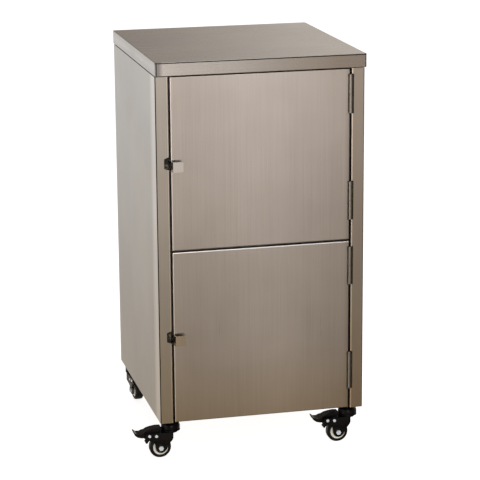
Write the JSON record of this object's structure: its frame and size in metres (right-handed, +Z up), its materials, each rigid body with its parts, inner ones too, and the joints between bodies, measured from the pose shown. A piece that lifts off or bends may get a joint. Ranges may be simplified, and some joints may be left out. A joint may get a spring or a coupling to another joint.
{
  "type": "icebox",
  "caption": "Insulated stainless cabinet with stacked hinged doors over an ice chamber and a food chamber, on swivelling braked casters.",
  "frame": {"origin": "on the floor, under the middle of the top cap", "axes": "+Z up, -Y out of the doors, +X towards the hinge side"},
  "size_m": [0.598, 0.516, 0.918],
  "materials": {
    "stainless_front": "fine vertical brushed grain, satin",
    "stainless_side": "fine vertical brushed grain, satin",
    "stainless_top": "fine brushed grain along the width, satin",
    "stainless_back": "plain mill finish, dull",
    "liner_steel": "smooth, easily wiped",
    "hinge_steel": "drawn bar, satin",
    "rack_wire": "bright plated wire",
    "zinc": "bright zinc plate",
    "foam": "closed-cell foam board, matt",
    "gasket": "soft grey moulded rubber",
    "drain_plastic": "smooth white plastic",
    "valve_rubber": "soft black rubber, matt",
    "magnet": "black, matt",
    "caster_black": "glossy black powder coat",
    "ivory_plastic": "moulded ivory plastic",
    "tread_black": "hard black rubber, semi-gloss"
  },
  "bodies": {
    "cabinet": {"side_panel_left": "stainless_side", "side_panel_right": "stainless_side", "back_panel": "stainless_back", "back_rivets": "zinc", "bottom_panel": "stainless_back", "top_cap": "stainless_top", "cap_seal": "valve_rubber", "ice_liner": "liner_steel", "food_liner": "liner_steel", "insulation_boards": "foam", "air_ducts": "drain_plastic", "ice_rack": "rack_wire", "food_shelf": "rack_wire", "shelf_rails": "liner_steel", "drain_fitting": "drain_plastic", "drain_tube": "drain_plastic", "drain_valve": "valve_rubber", "hinge_frame_halves": "hinge_steel", "hinge_pins": "hinge_steel", "catch_magnets": "magnet", "caster_mount_plates": "caster_black", "mount_plate_bolts": "zinc", "caster_stem_nuts": "caster_black", "caster_front_left_stem": "caster_black", "caster_front_right_stem": "caster_black", "caster_rear_left_stem": "caster_black", "caster_rear_right_stem": "caster_black"},
    "upper_door": {"upper_door_skin": "stainless_front", "upper_door_core": "foam", "upper_door_liner": "liner_steel", "upper_door_gasket": "gasket", "upper_door_hinge_halves": "hinge_steel", "upper_door_pull": "hinge_steel"},
    "lower_door": {"lower_door_skin": "stainless_front", "lower_door_core": "foam", "lower_door_liner": "liner_steel", "lower_door_gasket": "gasket", "lower_door_hinge_halves": "hinge_steel", "lower_door_pull": "hinge_steel"},
    "front_left_swivel": {"caster_front_left_fork": "caster_black", "caster_front_left_fasteners": "zinc"},
    "front_left_wheel": {"caster_front_left_hub": "ivory_plastic", "caster_front_left_tread": "tread_black"},
    "front_left_pedal": {"caster_front_left_pedal": "caster_black"},
    "front_right_swivel": {"caster_front_right_fork": "caster_black", "caster_front_right_fasteners": "zinc"},
    "front_right_wheel": {"caster_front_right_hub": "ivory_plastic", "caster_front_right_tread": "tread_black"},
    "front_right_pedal": {"caster_front_right_pedal": "caster_black"},
    "rear_left_swivel": {"caster_rear_left_fork": "caster_black", "caster_rear_left_fasteners": "zinc"},
    "rear_left_wheel": {"caster_rear_left_hub": "ivory_plastic", "caster_rear_left_tread": "tread_black"},
    "rear_left_pedal": {"caster_rear_left_pedal": "caster_black"},
    "rear_right_swivel": {"caster_rear_right_fork": "caster_black", "caster_rear_right_fasteners": "zinc"},
    "rear_right_wheel": {"caster_rear_right_hub": "ivory_plastic", "caster_rear_right_tread": "tread_black"},
    "rear_right_pedal": {"caster_rear_right_pedal": "caster_black"}
  },
  "joints": [
    {"name": "upper_door_hinge", "type": "hinge", "parent": "cabinet", "child": "upper_door", "pos_m": [0.20725, -0.2455, 0.68765], "axis": [0, 0, 1], "range_deg": [0, 165]},
    {"name": "lower_door_hinge", "type": "hinge", "parent": "cabinet", "child": "lower_door", "pos_m": [0.20725, -0.2455, 0.28815], "axis": [0, 0, 1], "range_deg": [0, 165]},
    {"name": "front_left_swivel_turn", "type": "hinge", "parent": "cabinet", "child": "front_left_swivel", "pos_m": [-0.211, -0.2175, 0.065], "axis": [0, 0, 1], "continuous": true},
    {"name": "front_left_wheel_spin", "type": "hinge", "parent": "front_left_swivel", "child": "front_left_wheel", "pos_m": [-0.2365, -0.2175, 0.025], "axis": [0, 1, 0], "continuous": true},
    {"name": "front_left_pedal_press", "type": "hinge", "parent": "front_left_swivel", "child": "front_left_pedal", "pos_m": [-0.2638, -0.2175, 0.0578], "axis": [0, -1, 0], "range_deg": [0, 12]},
    {"name": "front_right_swivel_turn", "type": "hinge", "parent": "cabinet", "child": "front_right_swivel", "pos_m": [0.211, -0.2175, 0.065], "axis": [0, 0, 1], "continuous": true},
    {"name": "front_right_wheel_spin", "type": "hinge", "parent": "front_right_swivel", "child": "front_right_wheel", "pos_m": [0.1855, -0.2175, 0.025], "axis": [0, 1, 0], "continuous": true},
    {"name": "front_right_pedal_press", "type": "hinge", "parent": "front_right_swivel", "child": "front_right_pedal", "pos_m": [0.1582, -0.2175, 0.0578], "axis": [0, -1, 0], "range_deg": [0, 12]},
    {"name": "rear_left_swivel_turn", "type": "hinge", "parent": "cabinet", "child": "rear_left_swivel", "pos_m": [-0.211, 0.2265, 0.065], "axis": [0, 0, 1], "continuous": true},
    {"name": "rear_left_wheel_spin", "type": "hinge", "parent": "rear_left_swivel", "child": "rear_left_wheel", "pos_m": [-0.20878, 0.2011, 0.025], "axis": [-0.9962, -0.0872, 0], "continuous": true},
    {"name": "rear_left_pedal_press", "type": "hinge", "parent": "rear_left_swivel", "child": "rear_left_pedal", "pos_m": [-0.2064, 0.1739, 0.0578], "axis": [0.9962, 0.0872, 0], "range_deg": [0, 12]},
    {"name": "rear_right_swivel_turn", "type": "hinge", "parent": "cabinet", "child": "rear_right_swivel", "pos_m": [0.211, 0.2265, 0.065], "axis": [0, 0, 1], "continuous": true},
    {"name": "rear_right_wheel_spin", "type": "hinge", "parent": "rear_right_swivel", "child": "rear_right_wheel", "pos_m": [0.2365, 0.2265, 0.025], "axis": [0, -1, 0], "continuous": true},
    {"name": "rear_right_pedal_press", "type": "hinge", "parent": "rear_right_swivel", "child": "rear_right_pedal", "pos_m": [0.2638, 0.2265, 0.0578], "axis": [0, 1, 0], "range_deg": [0, 12]}
  ]
}
